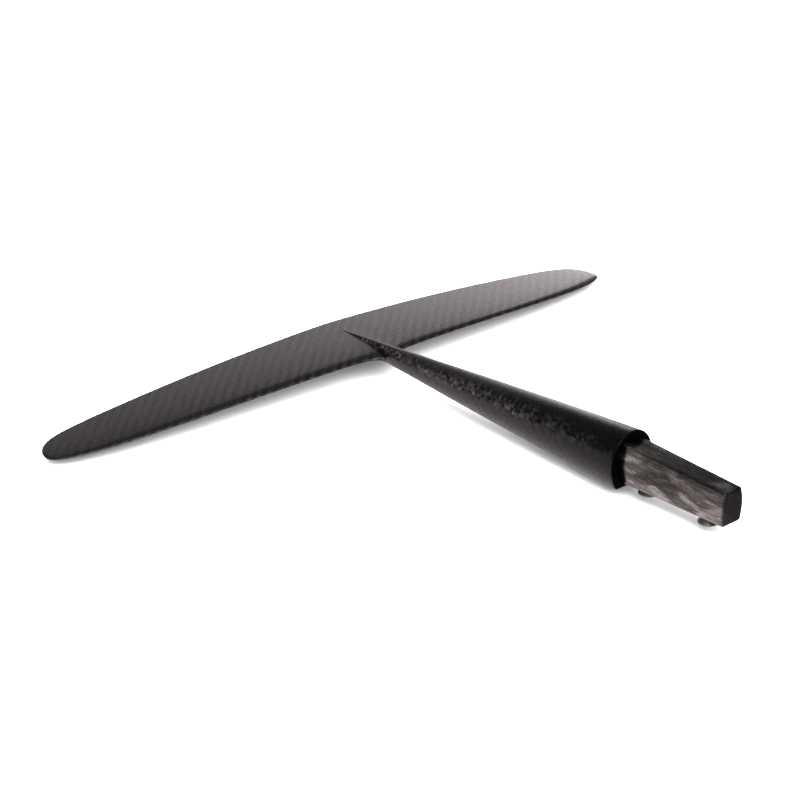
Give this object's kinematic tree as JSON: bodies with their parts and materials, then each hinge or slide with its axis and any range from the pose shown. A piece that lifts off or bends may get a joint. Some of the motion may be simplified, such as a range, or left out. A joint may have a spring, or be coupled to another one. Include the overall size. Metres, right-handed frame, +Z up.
{
  "type": "hydrofoil tail wing",
  "caption": "Carbon hydrofoil tail wing with drooping tips, moulded in one with a tapering fuselage that ends in a bonded tenon held by countersunk screws from below.",
  "frame": {"origin": "on the shoulder's end face, in the middle of the fuselage's flat underside", "axes": "+X to the right tip along the span, -Y the way the wing travels and the tenon points, +Z up"},
  "size_m": [0.449, 0.3538, 0.046],
  "materials": {
    "carbon_twill": "satin clear-coated 2x2 carbon twill",
    "forged_carbon": "glossy forged chopped carbon",
    "stainless_insert": "turned stainless steel",
    "stainless_screw": "bright stainless steel"
  },
  "bodies": {
    "root": {"wing_and_fuselage": "carbon_twill", "tenon": "forged_carbon", "thread_insert_front": "stainless_insert", "thread_insert_rear": "stainless_insert", "screw_front": "stainless_screw", "screw_rear": "stainless_screw"}
  },
  "joints": []
}
